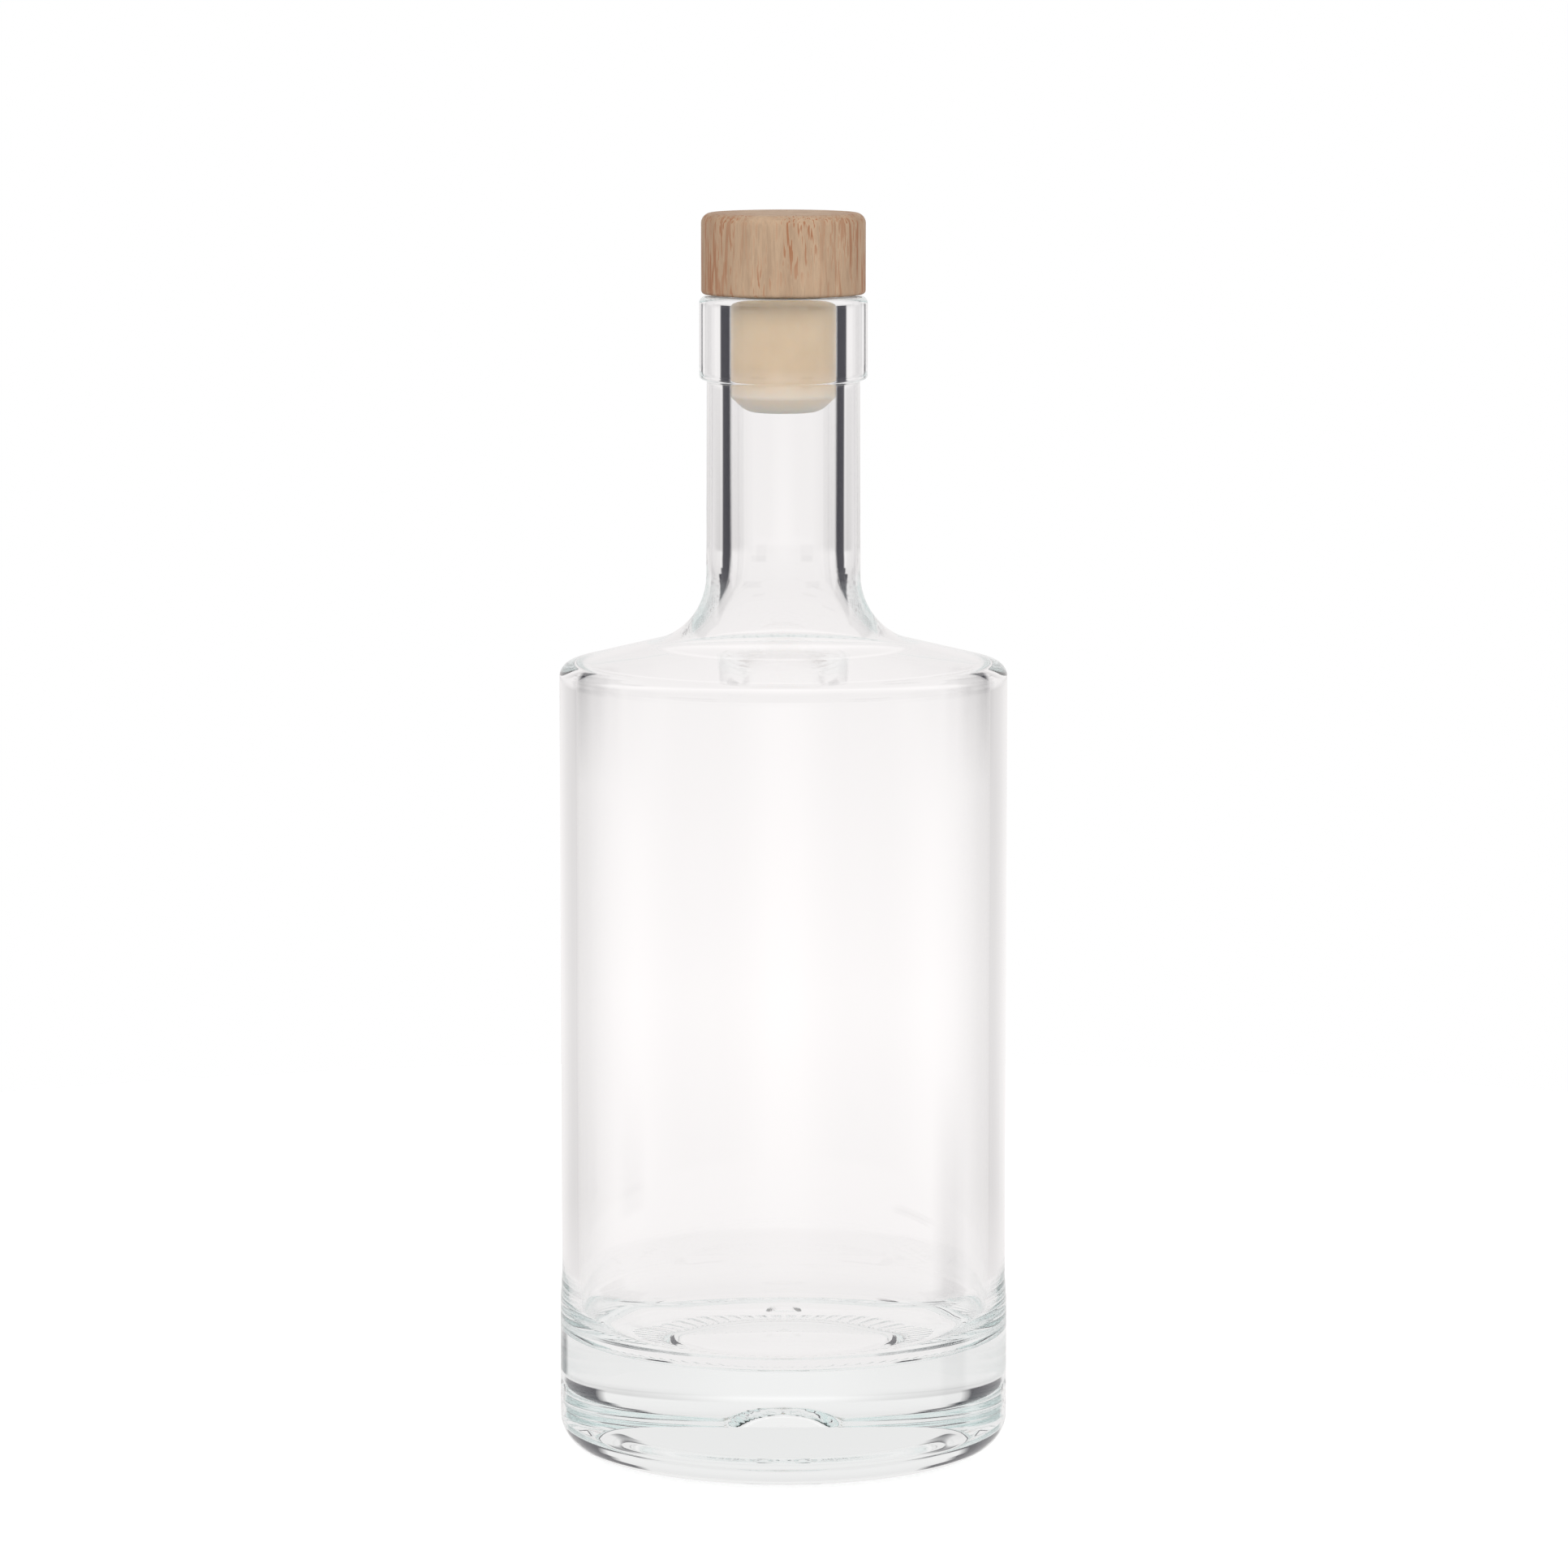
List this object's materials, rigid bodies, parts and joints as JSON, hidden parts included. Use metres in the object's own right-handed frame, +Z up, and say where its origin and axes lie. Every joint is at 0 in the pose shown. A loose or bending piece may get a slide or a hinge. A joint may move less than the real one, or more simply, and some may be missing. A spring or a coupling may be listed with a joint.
{
  "type": "glass bottle",
  "caption": "Round clear glass bottle with a thick base, low shoulder and straight neck, closed by a wooden push-in stopper with a plastic plug.",
  "frame": {"origin": "on the bottle's axis, on the plane that it stands on", "axes": "+Z up along the bottle's axis, +X to the right as the bottle is seen from the front, -Y towards the viewer; the locating notch in the heel is at +Y"},
  "size_m": [0.0784, 0.0784, 0.2163],
  "materials": {
    "clear_glass": "clear, fire polished",
    "beech": "sanded bare beech, grain upright",
    "plug_plastic": "smooth, slightly translucent beige"
  },
  "bodies": {
    "bottle": {"glass_bottle": "clear_glass"},
    "stopper": {"stopper_head": "beech", "stopper_plug": "plug_plastic"}
  },
  "joints": [
    {"name": "stopper_pull", "type": "slide", "parent": "bottle", "child": "stopper", "axis": [0, 0, 1], "range_m": [0, 0.03]}
  ]
}
